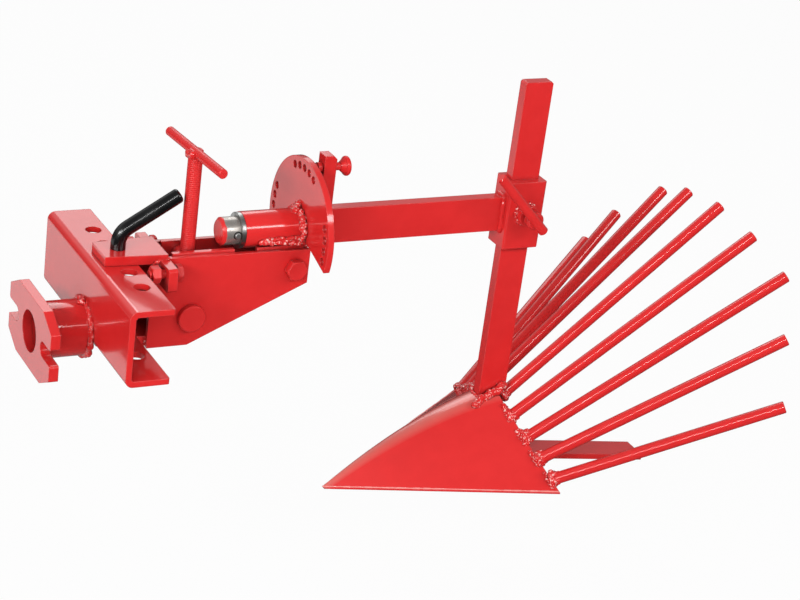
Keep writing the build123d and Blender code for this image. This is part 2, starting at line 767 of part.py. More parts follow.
# Index plunger and its knob, drawn back clear of the disc
plunger_tip = disc_rear + plunger_draw_gap
collar_rear = lug_front - seat_gap
collar_front = collar_rear - plunger_collar_length
knob_front = lug_rear + plunger_throw + seat_gap
with BuildPart() as index_plunger:
    with BuildSketch(along_x(plunger_tip)):
        with Locations((0, plunger_z)):
            Circle(plunger_tip_dia / 2)
    extrude(amount=collar_front - plunger_tip)
    chamfer(index_plunger.edges().filter_by(GeomType.CIRCLE).group_by(Axis.X)[0], plunger_tip_taper)
    with BuildSketch(along_x(collar_front)):
        with Locations((0, plunger_z)):
            Circle(plunger_collar_dia / 2)
    extrude(amount=plunger_collar_length)
    with BuildSketch(along_x(collar_rear)):
        with Locations((0, plunger_z)):
            Circle(plunger_dia / 2)
    extrude(amount=knob_front - collar_rear)
save(index_plunger, "index_plunger")
with BuildPart() as plunger_knob:
    with BuildSketch(along_x(knob_front + knob_neck_length)):
        with Locations((0, plunger_z)):
            Circle(knob_dia / 2)
    extrude(amount=knob_length)
    fillet(plunger_knob.edges().filter_by(GeomType.CIRCLE), knob_round)
    with BuildSketch(along_x(knob_front)):
        with Locations((0, plunger_z)):
            Circle(knob_neck_dia / 2)
    extrude(amount=knob_neck_length, taper=-knob_flare)
save(plunger_knob, "plunger_knob")

# Clamp socket: a thick sleeve at the end of the beam
with BuildPart() as clamp_socket:
    with BuildSketch(Plane.XY.offset(socket_low)) as sleeve:
        with Locations((shank_x, 0)):
            Rectangle(socket_length, socket_width)
            chamfer(sleeve.vertices(), socket_edge_cut)
            Rectangle(
                shank_width + 2 * slide_clearance,
                shank_thickness + 2 * slide_clearance,
                mode=Mode.SUBTRACT,
            )
    extrude(amount=socket_height)
    with BuildSketch(along_near(0)):
        with Locations((shank_x, clamp_z)):
            Circle(clamp_screw_dia / 2 + running_clearance)
    extrude(amount=socket_width, mode=Mode.SUBTRACT)
save(clamp_socket, "clamp_socket")

# Threaded boss on the near face of the socket
with BuildPart() as clamp_boss:
    with BuildSketch(along_near(-socket_width / 2)):
        with Locations((shank_x, clamp_z)):
            Circle(clamp_boss_dia / 2)
            Circle(clamp_screw_dia / 2 + running_clearance, mode=Mode.SUBTRACT)
    extrude(amount=clamp_boss_height)
save(clamp_boss, "clamp_boss")

# Clamp screw with its off-centre tee bar
clamp_bar_y = -socket_width / 2 - clamp_boss_height - clamp_bar_gap - clamp_bar_dia / 2
clamp_lean = math.radians(clamp_bar_angle)
clamp_bar_plane = Plane(
    origin=(shank_x, clamp_bar_y, clamp_z),
    x_dir=(0, 1, 0),
    z_dir=(-math.cos(clamp_lean), 0, math.sin(clamp_lean)),
).offset(clamp_bar_offset - clamp_bar_length / 2)
with BuildPart() as clamp_bar:
    with BuildSketch(clamp_bar_plane):
        Circle(clamp_bar_dia / 2)
    extrude(amount=clamp_bar_length)
    chamfer(clamp_bar.edges().filter_by(GeomType.CIRCLE), clamp_bar_dia / 10)
save(clamp_bar, "clamp_bar")
screw_tip_y = -shank_thickness / 2 - seat_gap
with BuildPart() as clamp_screw:
    with BuildSketch(along_near(screw_tip_y)):
        with Locations((shank_x, clamp_z)):
            Circle(clamp_screw_dia / 2)
    extrude(amount=screw_tip_y - clamp_bar_y)
    with BuildSketch(along_near(clamp_bar_y + clamp_head_length)):
        with Locations((shank_x, clamp_z)):
            Circle(clamp_head_dia / 2)
    extrude(amount=clamp_head_length)
    head_rims = clamp_screw.edges().filter_by(GeomType.CIRCLE).group_by(Axis.Y)
    chamfer(head_rims[0], clamp_head_cut)
    add(clamp_bar.part, mode=Mode.SUBTRACT)
save(clamp_screw, "clamp_screw")


# Share: a plate folded over a rounded ridge that rises from the point
def ridge_height(x):
    # A low arch from the point to the end of the ridge
    along = (x - share_point_x) / (ridge_end_x - share_point_x)
    depth = share_point_depth + (share_ridge_end_depth - share_point_depth) * along
    return roll_z - depth + 4 * share_ridge_rise * along * (1 - along)


def wing_edge(x):
    # Half width, height and share of the full length, at a station of the cutting edge
    part_way = (x - share_point_x) / (wing_x - share_point_x)
    depth = share_point_depth + (share_wing_depth - share_point_depth) * part_way
    return share_half_width * part_way, roll_z - depth, part_way


def roof_points(x, inset, drop):
    # Straight flanks from the cutting edge, tangent to an arc whose crown is the ridge
    half, low, part_way = wing_edge(x)
    radius = share_ridge_radius * part_way
    lift = ridge_height(x) - low - radius
    slope = half * lift + radius * math.sqrt(half**2 + lift**2 - radius**2)
    rise = math.atan(slope / (half**2 - radius**2))
    # The inner roof is moved in by the wall and carried down past the edge
    apex = low + half * math.tan(rise) - inset / math.cos(rise)
    radius = max(radius - inset, share_inner_radius) if inset else radius
    flat = radius * math.tan(rise)
    shoulder = (flat * math.cos(rise), apex - flat * math.sin(rise))
    crown = (0, apex - radius * (1 / math.cos(rise) - 1))
    foot = ((apex - low + drop) / math.tan(rise), low - drop)
    return foot, shoulder, crown


def stations(lead):
    # Places of the loft sections, evenly spaced to just past the rear edge
    first = share_point_x + lead
    last = wing_x + share_rear_allowance
    return [first + (last - first) * step / share_sections for step in range(share_sections + 1)]


with BuildPart() as outer_roof:
    for section_x in stations(share_nose_lead):
        foot, shoulder, crown = roof_points(section_x, 0, 0)
        with BuildSketch(along_x(section_x)):
            with BuildLine():
                Line((-foot[0], foot[1]), (-shoulder[0], shoulder[1]))
                ThreePointArc((-shoulder[0], shoulder[1]), crown, shoulder)
                Line(shoulder, foot)
                Polyline(
                    foot,
                    (foot[0], foot[1] - share_lip),
                    (-foot[0], foot[1] - share_lip),
                    (-foot[0], foot[1]),
                )
            make_face()
    loft()
with BuildPart() as inner_roof:
    for section_x in stations(share_hollow_lead):
        foot, shoulder, crown = roof_points(section_x, share_thickness, 2 * share_thickness)
        with BuildSketch(along_x(section_x)):
            with BuildLine():
                Line((-foot[0], foot[1]), (-shoulder[0], shoulder[1]))
                ThreePointArc((-shoulder[0], shoulder[1]), crown, shoulder)
                Line(shoulder, foot)
                Line(foot, (-foot[0], foot[1]))
            make_face()
    loft()
with BuildPart() as behind_share:
    with BuildSketch(Plane.XY.offset(roll_z - 2 * share_point_depth)):
        with BuildLine():
            Polyline(
                (ridge_end_x, 0),
                (wing_x, share_half_width),
                (wing_x + shank_width, 2 * share_half_width),
                (wing_x + max(tine_tip_back), 2 * share_half_width),
                (wing_x + max(tine_tip_back), -2 * share_half_width),
                (wing_x + shank_width, -2 * share_half_width),
                (wing_x, -share_half_width),
                close=True,
            )
        make_face()
    extrude(amount=4 * share_point_depth)
with BuildPart() as share:
    add(outer_roof.part)
    add(inner_roof.part, mode=Mode.SUBTRACT)
    add(behind_share.part, mode=Mode.SUBTRACT)
save(share, "share")

# Shank: a flat bar whose foot is cut to the share
foot_low = ridge_height(shank_x - shank_width) - shank_thickness
with BuildPart() as shank:
    with BuildSketch(Plane.XY.offset(foot_low)):
        with Locations((shank_x, 0)):
            Rectangle(shank_width, shank_thickness)
    extrude(amount=shank_top - foot_low)
    top_edges = shank.edges().filter_by(Axis.Y).group_by(Axis.Z)[-1]
    chamfer(top_edges, shank_top_cut)
    add(outer_roof.part, mode=Mode.SUBTRACT)
save(shank, "shank")

# Tines: a fan of round bars from the share's rear edge; the middle one starts on the heel web
tine_number = 0
for side, order in ((1, (4, 3, 2, 1)), (0, (0,)), (-1, (1, 2, 3, 4))):
    for rank in order:
        tine_number += 1
        root_y = side * tine_root_spread[rank]
        edge_share = abs(root_y) / share_half_width
        root_x = ridge_end_x + (wing_x - ridge_end_x) * edge_share
        half, low, _ = wing_edge(root_x)
        crest = ridge_height(root_x)
        root_z = crest + (low - crest) * abs(root_y) / half - tine_root_drop[rank]
        root = Vector(root_x, root_y, root_z)
        tip = Vector(
            shank_x + tine_tip_back[rank],
            side * tine_tip_spread[rank],
            roll_z - tine_tip_depth[rank],
        )
        run = tip - root
        excess = outer_tine_excess if tine_number == 1 else 0
        start = root - run.normalized() * tine_dia
        with BuildPart() as tine:
            with BuildSketch(Plane(origin=start, z_dir=run)):
                Circle(tine_dia / 2)
            extrude(amount=run.length + tine_dia + excess)
            chamfer(tine.edges().filter_by(GeomType.CIRCLE).group_by(Axis.X)[-1], tine_end_chamfer)
            add(behind_share.part, mode=Mode.INTERSECT)
        save(tine, f"tine_{tine_number}")

# Heel bar behind the share, and the web that carries it
heel_lean = math.radians(heel_slope)
heel_length = (heel_rear_back + heel_front_forward) / math.cos(heel_lean)
heel_plane = Plane(
    origin=(shank_x + heel_rear_back, 0, roll_z - heel_rear_depth),
    x_dir=(-math.cos(heel_lean), 0, math.sin(heel_lean)),
    z_dir=(math.sin(heel_lean), 0, math.cos(heel_lean)),
)
with BuildPart() as heel_bar:
    with BuildSketch(heel_plane):
        with Locations((heel_length / 2, 0)):
            Rectangle(heel_length, heel_width)
    extrude(amount=-heel_thickness)
save(heel_bar, "heel_bar")
web_front = shank_x - heel_front_forward
with BuildPart() as heel_web:
    with BuildSketch(along_near(heel_web_thickness / 2)):
        with BuildLine():
            web_rear = web_front + heel_web_length
            heel_fall = (heel_rear_back + heel_front_forward) * math.tan(heel_lean)
            heel_at_front = roll_z - heel_rear_depth + heel_fall
            heel_at_rear = heel_at_front - (web_rear - web_front) * math.tan(heel_lean)
            Polyline(
                (web_front, heel_at_front),
                (web_rear, heel_at_rear),
                (web_rear, shank_top),
                (web_front, shank_top),
                close=True,
            )
        make_face()
    extrude(amount=heel_web_thickness)
    add(inner_roof.part, mode=Mode.INTERSECT)
    add(behind_share.part, mode=Mode.SUBTRACT)
save(heel_web, "heel_web")
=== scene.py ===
import math
import random

import bpy
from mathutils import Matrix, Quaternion, Vector


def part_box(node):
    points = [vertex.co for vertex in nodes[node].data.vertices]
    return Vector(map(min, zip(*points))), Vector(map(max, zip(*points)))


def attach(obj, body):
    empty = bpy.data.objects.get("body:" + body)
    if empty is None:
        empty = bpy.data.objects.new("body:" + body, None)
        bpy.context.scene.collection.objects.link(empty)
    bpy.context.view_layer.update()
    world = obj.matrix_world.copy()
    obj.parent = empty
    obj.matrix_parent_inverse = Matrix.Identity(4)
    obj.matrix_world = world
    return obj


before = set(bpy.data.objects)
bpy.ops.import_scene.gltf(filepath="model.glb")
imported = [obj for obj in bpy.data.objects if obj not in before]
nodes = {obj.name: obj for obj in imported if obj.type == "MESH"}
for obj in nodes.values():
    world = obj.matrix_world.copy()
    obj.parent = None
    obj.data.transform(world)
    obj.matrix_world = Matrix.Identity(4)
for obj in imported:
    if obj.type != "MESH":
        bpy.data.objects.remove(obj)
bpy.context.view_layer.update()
sides = (("Near", -1), ("Far", 1))
print("frame loaded:", len(nodes), "nodes")


def clearSelection():
    if bpy.context.object and bpy.context.object.mode != "OBJECT":
        bpy.ops.object.mode_set(mode="OBJECT")
    bpy.ops.object.select_all(action="DESELECT")


def lowCorner(node):
    return Vector(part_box(node)[0])


def highCorner(node):
    return Vector(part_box(node)[1])


def middle(node):
    return (lowCorner(node) + highCorner(node)) / 2


# Shader maths. A strand is one socket in a material's tree.
class Strand:
    def __init__(self, tree, socket=None):
        self.tree = tree
        self.socket = socket

    def node(self, kind, settings, sockets, out=0):
        new = self.tree.nodes.new(kind)
        for key, value in settings.items():
            if key == "stops":
                marks = new.color_ramp.elements
                while len(marks) < len(value):
                    marks.new(0.5)
                for mark, (place, tone) in zip(marks, value):
                    mark.position = place
                    mark.color = (tone, tone, tone, 1)
            else:
                setattr(new, key, value)
        for key, value in sockets.items():
            if isinstance(value, Strand):
                self.tree.links.new(value.socket, new.inputs[key])
            else:
                new.inputs[key].default_value = value
        return Strand(self.tree, new.outputs[out]) if len(new.outputs) else None

    def math(self, operation, first, second):
        return self.node("ShaderNodeMath", {"operation": operation}, {0: first, 1: second})

    def __add__(self, other):
        return self.math("ADD", self, other)

    def __radd__(self, other):
        return self.math("ADD", other, self)

    def __sub__(self, other):
        return self.math("SUBTRACT", self, other)

    def __rsub__(self, other):
        return self.math("SUBTRACT", other, self)

    def __mul__(self, other):
        return self.math("MULTIPLY", self, other)

    def __rmul__(self, other):
        return self.math("MULTIPLY", other, self)

    def sine(self, spacing):
        return self.node("ShaderNodeMath", {"operation": "SINE"}, {0: self * (6.2832 / spacing)})

    def axis(self, letter):
        return self.node("ShaderNodeSeparateXYZ", {}, {"Vector": self}, letter)

    def ramp(self, *stops):
        return self.node("ShaderNodeValToRGB", {"stops": stops}, {0: self})

    def rise(self, low=0.0, high=1.0):
        return self.ramp((low, 0.0), (high, 1.0))

    def noise(self, place, scale, detail=2.0):
        return self.node("ShaderNodeTexNoise", {}, {"Vector": place, "Scale": scale, "Detail": detail})

    def blend(self, amount, first, second):
        return self.node("ShaderNodeMix", {"data_type": "RGBA"}, {0: amount, 6: first, 7: second}, 2)

    def bevel(self, radius):
        return self.node("ShaderNodeBevel", {"samples": 4}, {"Radius": radius})

    def openness(self, distance):
        return self.node("ShaderNodeAmbientOcclusion", {"samples": 4}, {"Distance": distance}, "AO")

    def bump(self, height, strength, distance, normal=None):
        sockets = {"Strength": strength, "Distance": distance, "Height": height}
        if normal:
            sockets["Normal"] = normal
        return self.node("ShaderNodeBump", {}, sockets)


def startMaterial(name):
    material = bpy.data.materials.new(name)
    material.use_nodes = True
    material.node_tree.nodes.clear()
    start = Strand(material.node_tree)
    place = start.node("ShaderNodeTexCoord", {}, {}, "Object")
    return material, start, place


def endMaterial(start, sockets):
    shader = start.node("ShaderNodeBsdfPrincipled", {}, sockets)
    start.node("ShaderNodeOutputMaterial", {}, {"Surface": shader})


# Red enamel, sprayed over everything, glossy; lighter on edges, partly thin paint and partly a painted highlight;
# deep corners and hollows darkened as painted shade
enamelLook = {
    "red": (0.67, 0.023, 0.023, 1),
    "deepRed": (0.54, 0.011, 0.012, 1),
    "thinPaintAndSheen": (0.80, 0.110, 0.105, 1),
    "edgeHighlightPink": (0.84, 0.30, 0.28, 1),
    "paintedRidgeSheen": (0.60, 0.190, 0.160, 1),
    "paintedShade": (0.045, 0.004, 0.004, 1),
    "glint": (0.90, 0.60, 0.56, 1),
    "patchScale": 9.0,
    "cloudScale": 55.0,
    "gritScale": 620.0,
    "sparkScale": 400.0,
    "sparkRange": (0.59, 0.66),
    "speckRange": (0.70, 0.78),
    "speckShare": 0.25,
    "patchShare": 0.6,
    "cloudShare": 0.4,
    "depthRange": (0.38, 0.66),
    "depthShare": 0.40,
    "edgeRange": (0.01, 0.16),
    "ridgeWidens": (0.080, -0.0276),
    "ridgePatchy": (0.65, 0.7),
    "cornerReach": 0.024,
    "cornerRange": (0.50, 0.84),
    "hollowReach": 0.10,
    "hollowRange": (0.58, 0.86),
    "paintedShadeShare": 0.9,
    "cloudDulls": 0.06,
    "cornerDulls": 0.25,
    "waveHeight": 0.0012,
    "peelHeight": 0.0003,
    "coatRoughness": 0.06,
}


def enamel(name, tone="red", gloss=0.16, waves=0.10, peel=0.05, waveScale=38.0, stretch=(1, 1, 1),
           thread=None, rim=0.0018, ridge=0.0, glint=0.0, coat=0.45, shine=0.36):
    look = enamelLook
    material, start, place = startMaterial(name)
    patches = start.noise(place, look["patchScale"], 3.0)
    clouds = start.noise(place, look["cloudScale"], 4.0)
    grit = start.noise(place, look["gritScale"])
    if thread:
        relief = place.axis(thread[0]).sine(thread[1])
    else:
        along = start.node("ShaderNodeMapping", {}, {"Vector": place, "Scale": stretch})
        relief = start.noise(along, waveScale, 3.0)
    flat = start.node("ShaderNodeNewGeometry", {}, {}, "Normal")
    soft = start.bevel(rim) if rim else flat
    # Painted shade: corners and hollows found by ambient occlusion are later blended towards near black
    corner = (1 - start.openness(look["cornerReach"])).rise(*look["cornerRange"])
    hollow = (1 - start.openness(look["hollowReach"])).rise(*look["hollowRange"])
    corner = start.math("MAXIMUM", corner, hollow)
    specks = grit.rise(*look["speckRange"])
    depth = (patches * look["patchShare"] + clouds * look["cloudShare"]).rise(*look["depthRange"])
    colour = start.blend(depth * look["depthShare"], look[tone], look["deepRed"])
    # Edges lighter: partly thin paint, partly a painted highlight
    if rim:
        facing = start.node("ShaderNodeVectorMath", {"operation": "DOT_PRODUCT"}, {0: soft, 1: flat}, "Value")
        edge = (1 - facing).rise(*look["edgeRange"])
        colour = start.blend(edge * clouds, colour, look["thinPaintAndSheen"])
    # Painted sheen: a paler greyish band along the share's ridge, painted on as a reflection
    if ridge:
        slope, offset = look["ridgeWidens"]
        across = start.math("DIVIDE", place.axis("Y"), place.axis("X") * slope + offset)
        least, varies = look["ridgePatchy"]
        paintedRidgeSheen = (1 - across * across).rise() * (least + patches * varies)
        colour = start.blend(paintedRidgeSheen * ridge, colour, look["paintedRidgeSheen"])
    colour = start.blend(specks * look["speckShare"], colour, look["deepRed"])
    # Painted highlights: pale specks scattered over the colour as glints
    if glint:
        paintedGlints = start.noise(place, look["sparkScale"], 1.0).rise(*look["sparkRange"])
        colour = start.blend(paintedGlints * glint, colour, look["glint"])
    # Painted shade darkens the corners and hollows
    colour = start.blend(corner * look["paintedShadeShare"], colour, look["paintedShade"])
    roughness = gloss - look["cloudDulls"] / 2 + clouds * look["cloudDulls"]
    roughness = roughness + specks * (peel * 2) + corner * look["cornerDulls"]
    ripple = start.bump(relief, waves, look["waveHeight"], soft)
    endMaterial(start, {
        "Base Color": colour,
        "Roughness": roughness,
        "Specular IOR Level": shine,
        "Coat Weight": (1 - corner) * coat if coat else 0.0,
        "Coat Roughness": look["coatRoughness"],
        "Normal": start.bump(grit, peel, look["peelHeight"], ripple) if peel else ripple,
    })
    return material


redPlate = enamel("redPlate")
redBar = enamel("redBar", waveScale=24.0, stretch=(0.25, 1, 1))
redShare = enamel("redShare", gloss=0.20, waves=0.22, waveScale=14.0, stretch=(0.35, 1, 1), ridge=0.62)
redShank = enamel("redShank", waveScale=24.0, stretch=(1, 1, 0.25))
redRod = enamel("redRod", gloss=0.14, waves=0.02, peel=0.0, waveScale=11.0, rim=0.0)
redHandle = enamel("redHandle", gloss=0.36, waves=0.03, peel=0.0, waveScale=40.0, rim=0.0, coat=0.0, shine=0.28)
redWeld = enamel("redWeld", gloss=0.10, waves=0.55, waveScale=480.0, glint=0.80)
redSeam = enamel("redSeam", gloss=0.12, waves=0.40, waveScale=240.0, glint=0.30)
redFillet = enamel("redFillet", waves=0.30, waveScale=150.0)
redFastener = enamel("redFastener", gloss=0.34, waves=0.16, waveScale=90.0, coat=0.05, shine=0.20)
redScrew = enamel("redScrew", gloss=0.36, waves=0.30, peel=0.0, thread=("Z", 0.0025), rim=0.0, coat=0.0, shine=0.28)
redStop = enamel("redStop", gloss=0.34, waves=0.45, thread=("X", 0.00175), coat=0.05, shine=0.20)
redClamp = enamel("redClamp", gloss=0.18, waves=0.50, thread=("Y", 0.0020))
# Pale pink finish for the edge bead: a painted highlight
paleHighlightDrip = enamel("paleHighlightDrip", "edgeHighlightPink", gloss=0.10, waves=0.03, peel=0.0, rim=0.0)
print("red enamels made")

# Black dipped vinyl on the pin's handle
vinylLook = {
    "black": (0.0025, 0.0025, 0.003, 1),
    "scuffed": (0.007, 0.007, 0.007, 1),
    "smearScale": 40.0,
    "fineScale": 700.0,
    "scuffRange": (0.55, 0.72),
    "scuffShare": 0.5,
    "scuffDulls": 0.06,
    "fineDulls": 0.02,
    "gloss": 0.21,
    "shine": 0.52,
    "dripBump": (0.02, 0.0008),
    "skinBump": (0.015, 0.0002),
}


def dippedVinyl():
    material, start, place = startMaterial("dippedVinyl")
    smear = start.noise(place, vinylLook["smearScale"], 3.0)
    fine = start.noise(place, vinylLook["fineScale"])
    scuffs = smear.rise(*vinylLook["scuffRange"])
    drips = start.bump(smear, *vinylLook["dripBump"])
    endMaterial(start, {
        "Base Color": start.blend(scuffs * vinylLook["scuffShare"], vinylLook["black"], vinylLook["scuffed"]),
        "Roughness": vinylLook["gloss"] + scuffs * vinylLook["scuffDulls"] + fine * vinylLook["fineDulls"],
        "Specular IOR Level": vinylLook["shine"],
        "Normal": start.bump(fine, *vinylLook["skinBump"], drips),
    })
    return material


# Turned steel of the roll shaft, with red paint on its nose and a dark ring round the spring pin
shaftLook = {
    "steel": (0.46, 0.43, 0.40, 1),
    "stain": (0.27, 0.23, 0.20, 1),
    "dark": (0.012, 0.011, 0.010, 1),
    "paintEnds": 0.0045,
    "raggedScale": 160.0,
    "ragged": 0.004,
    "paintSharpness": 900.0,
    "darkRingRadius": 0.0058,
    "darkRingSolid": 0.80,
    "ringSpacing": 0.0006,
    "ringBump": (0.18, 0.0001),
    "greaseScale": 48.0,
    "greaseRange": (0.45, 0.70),
    "greaseShare": 0.75,
    "greaseDulls": 0.18,
    "ringDulls": 0.04,
    "gloss": 0.30,
    "metal": 0.75,
}


def turnedSteel():
    look = shaftLook
    material, start, place = startMaterial("turnedSteel")
    along = place.axis("X")
    nose = lowCorner("roll_shaft").x + look["paintEnds"]
    ragged = start.noise(place, look["raggedScale"], 3.0)
    painted = (nose - along + (ragged - 0.5) * look["ragged"]) * look["paintSharpness"] + 0.5
    painted = painted.rise()
    rings = along.sine(look["ringSpacing"])
    grease = start.noise(place, look["greaseScale"], 4.0).rise(*look["greaseRange"])
    bare = start.blend(grease * look["greaseShare"], look["steel"], look["stain"])
    # A dark, non-metallic ring painted round the spring pin
    pinSpot = middle("roll_pin")
    across = along - pinSpot.x
    upward = place.axis("Z") - pinSpot.z
    darkRing = (across * across + upward * upward) * (1 / look["darkRingRadius"] ** 2)
    darkRing = darkRing.ramp((look["darkRingSolid"], 1.0), (1.0, 0.0))
    bare = start.blend(darkRing, bare, look["dark"])
    endMaterial(start, {
        "Base Color": start.blend(painted, bare, enamelLook["red"]),
        "Metallic": (1 - painted) * (1 - darkRing) * look["metal"],
        "Roughness": look["gloss"] + grease * look["greaseDulls"] + rings * look["ringDulls"],
        "Normal": start.bump(rings, *look["ringBump"]),
    })
    return material


# Zinc plate on the washer and the bright spring pin
platedLook = {
    "zinc": (0.42, 0.42, 0.41, 1),
    "dullZinc": (0.20, 0.20, 0.19, 1),
    "bloomScale": 130.0,
    "bloomRange": (0.42, 0.68),
    "bloomDulls": 0.15,
    "fineDulls": 0.06,
    "fineScale": 900.0,
    "fineBump": (0.12, 0.0002),
    "rim": 0.0006,
}


def platedSteel(name, gloss, dulling):
    look = platedLook
    material, start, place = startMaterial(name)
    dull = start.noise(place, look["bloomScale"], 4.0).rise(*look["bloomRange"])
    fine = start.noise(place, look["fineScale"])
    endMaterial(start, {
        "Base Color": start.blend(dull * dulling, look["zinc"], look["dullZinc"]) if dulling else look["zinc"],
        "Metallic": 1.0,
        "Roughness": gloss + dull * look["bloomDulls"] + fine * look["fineDulls"],
        "Normal": start.bump(fine, *look["fineBump"], start.bevel(look["rim"])),
    })
    return material


gripVinyl = dippedVinyl()
shaftSteel = turnedSteel()
washerZinc = platedSteel("washerZinc", gloss=0.26, dulling=0.7)
pinSteel = platedSteel("pinSteel", gloss=0.42, dulling=0.0)
print("vinyl and steels made")

# Every CAD node takes its finish here
finishes = {
    "pin_grip": gripVinyl,
    "roll_shaft": shaftSteel,
    "shaft_washer": washerZinc,
    "roll_pin": pinSteel,
    "share": redShare,
    "shank": redShank,
    "beam": redBar,
    "heel_bar": redBar,
    "pivot_bolt": redFastener,
    "pivot_nut": redFastener,
    "pivot_washer": redFastener,
    "trunnion_pins": redFastener,
    "stop_nuts": redFastener,
    "plunger_knob": redFastener,
    "index_plunger": redFastener,
    "tee_bar": redHandle,
    "clamp_bar": redRod,
    "roll_tube": redRod,
    "hub_tube": redRod,
    "hitch_pin": redRod,
    "pitch_screw": redScrew,
    "stop_bolts": redStop,
    "clamp_screw": redClamp,
}
for name, node in nodes.items():
    finish = finishes.get(name, redRod if name.startswith("tine_") else redPlate)
    node.data.materials.clear()
    node.data.materials.append(finish)
print("node finishes set")


def startPiece(name):
    clearSelection()
    bpy.ops.object.add(type="MESH", location=(0, 0, 0))
    piece = bpy.context.object
    piece.name = name
    bpy.ops.object.mode_set(mode="EDIT")
    return piece


# Melts what was added in edit mode into one smooth skin, and gives it finish and body
def finishPiece(piece, body, finish, voxel, easing):
    bpy.ops.object.mode_set(mode="OBJECT")
    melt = piece.modifiers.new("melt", "REMESH")
    melt.mode = "VOXEL"
    melt.voxel_size = voxel
    ease = piece.modifiers.new("ease", "SMOOTH")
    ease.factor = 0.5
    ease.iterations = easing
    clearSelection()
    piece.select_set(True)
    bpy.context.view_layer.objects.active = piece
    for modifier in list(piece.modifiers):
        bpy.ops.object.modifier_apply(modifier=modifier.name)
    bpy.ops.object.transform_apply(location=True, rotation=True, scale=True)
    bpy.ops.object.shade_smooth_by_angle(angle=math.radians(180))
    piece.data.materials.clear()
    piece.data.materials.append(finish)
    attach(piece, body)


# Weld beads: drops scattered round a seam, melted into one lumpy skin
weldLook = {"spacing": 0.52, "dropsAcross": 3, "small": 0.42, "large": 0.72, "skin": 0.17, "leastSkin": 0.0006}


def walkSeam(path, closed, step):
    points = [Vector(p) for p in path]
    if closed:
        points.append(points[0])
    lengths = [(b - a).length for a, b in zip(points, points[1:])]
    count = max(2, round(sum(lengths) / step))
    stops = []
    for index in range(count if closed else count + 1):
        left = sum(lengths) * index / count
        run = 0
        while run < len(lengths) - 1 and left > lengths[run]:
            left -= lengths[run]
            run += 1
        heading = (points[run + 1] - points[run]).normalized()
        stops.append((points[run] + heading * left, heading))
    return stops


def layBead(name, body, path, size, seed, closed=False, finish=redWeld, easing=1, scatter=0.52):
    dice = random.Random(seed)
    bead = startPiece(name)
    for place, heading in walkSeam(path, closed, size * weldLook["spacing"]):
        side = heading.orthogonal().normalized()
        for _ in range(weldLook["dropsAcross"]):
            lean = Quaternion(heading, dice.uniform(0, 2 * math.pi))
            shift = lean @ side * size * scatter * dice.uniform(0.2, 1)
            bpy.ops.mesh.primitive_ico_sphere_add(
                subdivisions=1,
                radius=size * dice.uniform(weldLook["small"], weldLook["large"]),
                location=place + shift,
            )
    voxel = max(size * weldLook["skin"], weldLook["leastSkin"])
    finishPiece(bead, body, finish, voxel, easing)


def ring(centre, axis, radius, count=40):
    side = Vector(axis).orthogonal().normalized()
    other = Vector(axis).cross(side).normalized()
    points = []
    for index in range(count):
        turn = math.radians(360.0 * index / count)
        points.append(Vector(centre) + (side * math.cos(turn) + other * math.sin(turn)) * radius)
    return points


# Hub welds, both ends of the hub tube, and a lump on top
hubWelds = {
    "inset": 0.001,
    "flange": 0.0046,
    "web": 0.0074,
    "webScatter": 0.26,
    "crown": 0.0070,
    "crownRun": ((-0.007, -0.006, 0.0), (-0.002, 0.004, 0.001)),
}
hubFront = lowCorner("hub_tube").x
hubRear = highCorner("hub_tube").x
hubRadius = highCorner("hub_tube").y
flangeRing = ring((hubFront + hubWelds["inset"], 0, 0), (1, 0, 0), hubRadius)
layBead("weldHubFlange", "hitch", flangeRing, hubWelds["flange"], seed=3, closed=True)
webRing = ring((hubRear - hubWelds["inset"], 0, 0), (1, 0, 0), hubRadius)
layBead("weldHubWeb", "hitch", webRing, hubWelds["web"], seed=4, closed=True,
        finish=redSeam, easing=8, scatter=hubWelds["webScatter"])
hubCrown = [(hubRear + back, across, hubRadius + lift) for back, across, lift in hubWelds["crownRun"]]
layBead("weldHubCrown", "hitch", hubCrown, hubWelds["crown"], seed=2)

# Tongue, stop lug and side plate welds
boxWelds = {
    "tongue": 0.0032,
    "tongueStart": 0.001,
    "rim": 0.0036,
    "rimStart": 0.002,
    "rimEnd": 0.001,
    "rimLift": 0.003,
    "lug": 0.0028,
    "lugFoot": 0.002,
    "lugHead": 0.003,
    "lowTongue": 0.0026,
    "lowInset": 0.006,
}
tongueLow = lowCorner("upper_tongue")
tongueHigh = highCorner("upper_tongue")
plateFront = lowCorner("side_plate_near").x
plateTop = highCorner("side_plate_near").z
plateOuter = highCorner("side_plate_far").y
for sideName, side in sides:
    face = side * plateOuter
    tongueSeam = [
        (plateFront + boxWelds["tongueStart"], face, tongueLow.z),
        (tongueHigh.x, face, tongueLow.z),
        (tongueHigh.x, face, plateTop),
    ]
    layBead(f"weldTongue{sideName}", "box", tongueSeam, boxWelds["tongue"], seed=5 + side)
    rim = tongueHigh.y * side
    rimHeight = tongueLow.z + boxWelds["rimLift"]
    rimSeam = [
        (plateFront + boxWelds["rimStart"], rim, rimHeight),
        (tongueHigh.x - boxWelds["rimEnd"], rim, rimHeight),
    ]
    layBead(f"weldTongueRim{sideName}", "box", rimSeam, boxWelds["rim"], seed=17 + side)
    lug = f"stop_lug_{sideName.lower()}"
    for label, seamX in (("Front", lowCorner(lug).x), ("Rear", highCorner(lug).x)):
        lugSeam = [
            (seamX, face, lowCorner(lug).z + boxWelds["lugFoot"]),
            (seamX, face, tongueLow.z - boxWelds["lugHead"]),
        ]
        layBead(f"weldLug{sideName}{label}", "box", lugSeam, boxWelds["lug"], seed=9 + side)
    inner = side * (plateOuter - boxWelds["lowInset"])
    lowSeam = [(plateFront, inner, lowCorner("lower_tongue").z), (plateFront, inner, highCorner("lower_tongue").z)]
    layBead(f"weldLowTongue{sideName}", "box", lowSeam, boxWelds["lowTongue"], seed=12 + side)
